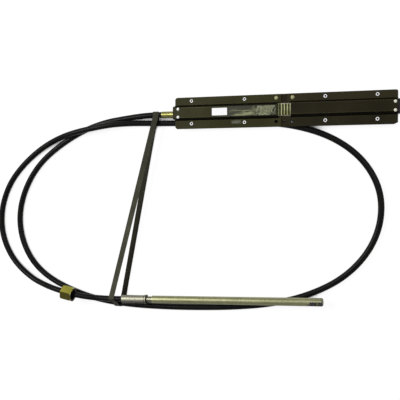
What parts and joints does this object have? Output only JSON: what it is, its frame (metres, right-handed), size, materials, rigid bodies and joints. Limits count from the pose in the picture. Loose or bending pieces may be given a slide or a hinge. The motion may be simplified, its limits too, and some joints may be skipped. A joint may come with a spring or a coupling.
{
  "type": "boat steering rack and cable",
  "caption": "Flat rack housing with a sliding toothed rack, joined by a looped push-pull cable to a telescoping steering ram with a loose coupling nut.",
  "frame": {"origin": "middle of the pinion window between the two covers, on the flange face that the helm bolts to", "axes": "+X along the rack towards its closed end, +Y across the rack away from the ram, +Z out of the mounting face"},
  "size_m": [0.8648, 0.4332, 0.0448],
  "materials": {
    "black_sheet": "satin black coat, slightly brown",
    "black_plastic": "moulded black plastic",
    "rivet_white": "white coated heads",
    "yellow_zinc": "yellow passivated zinc plate",
    "pale_zinc": "pale zinc plate",
    "rack_steel": "machined steel under grease",
    "stainless": "drawn stainless tube",
    "sleeve_brass": "turned brass",
    "cable_black": "extruded black jacket",
    "nylon": "natural nylon",
    "core_steel": "plain steel",
    "strap_black": "matt dark strap",
    "label_white": "blank white label",
    "film_grey": "scuffed silvery film"
  },
  "bodies": {
    "housing": {"back_rail": "black_sheet", "left_cover": "black_sheet", "right_cover": "black_sheet", "cable_end_block": "black_plastic", "end_plug": "black_plastic", "flange_rivets": "rivet_white", "left_end_rivets": "rivet_white", "right_end_rivets": "pale_zinc", "helm_screws": "pale_zinc", "helm_screw_nuts": "pale_zinc", "rack_core": "core_steel", "upper_guide_strip": "nylon", "lower_guide_strip": "nylon", "wear_pad": "nylon", "cable_sleeve": "sleeve_brass", "cable_jacket": "cable_black", "ferrule": "stainless", "support_tube": "stainless", "retaining_strap": "strap_black", "blank_label": "label_white", "scuffed_film": "film_grey"},
    "rack": {"rack_bar": "rack_steel", "core_set_screw": "core_steel", "core_end": "core_steel"},
    "ram": {"ram_tube": "stainless", "ram_bush": "nylon", "ram_tip": "stainless", "pull_rod": "core_steel"},
    "nut": {"coupling_nut": "yellow_zinc"}
  },
  "joints": [
    {"name": "rack_slide", "type": "slide", "parent": "housing", "child": "rack", "axis": [-1, 0, 0], "range_m": [-0.012, 0.182], "deforming": ["rack_core"]},
    {"name": "ram_slide", "type": "slide", "parent": "housing", "child": "ram", "axis": [0.9991, 0.0429, 0], "range_m": [-0.012, 0.182]},
    {"name": "nut_spin", "type": "hinge", "parent": "housing", "child": "nut", "pos_m": [-0.4657, -0.3774, 0.0115], "axis": [0.9816, -0.1908, 0], "continuous": true}
  ],
  "couplings": [
    {"joint": "ram_slide", "follows": "rack_slide", "ratio": 1}
  ]
}
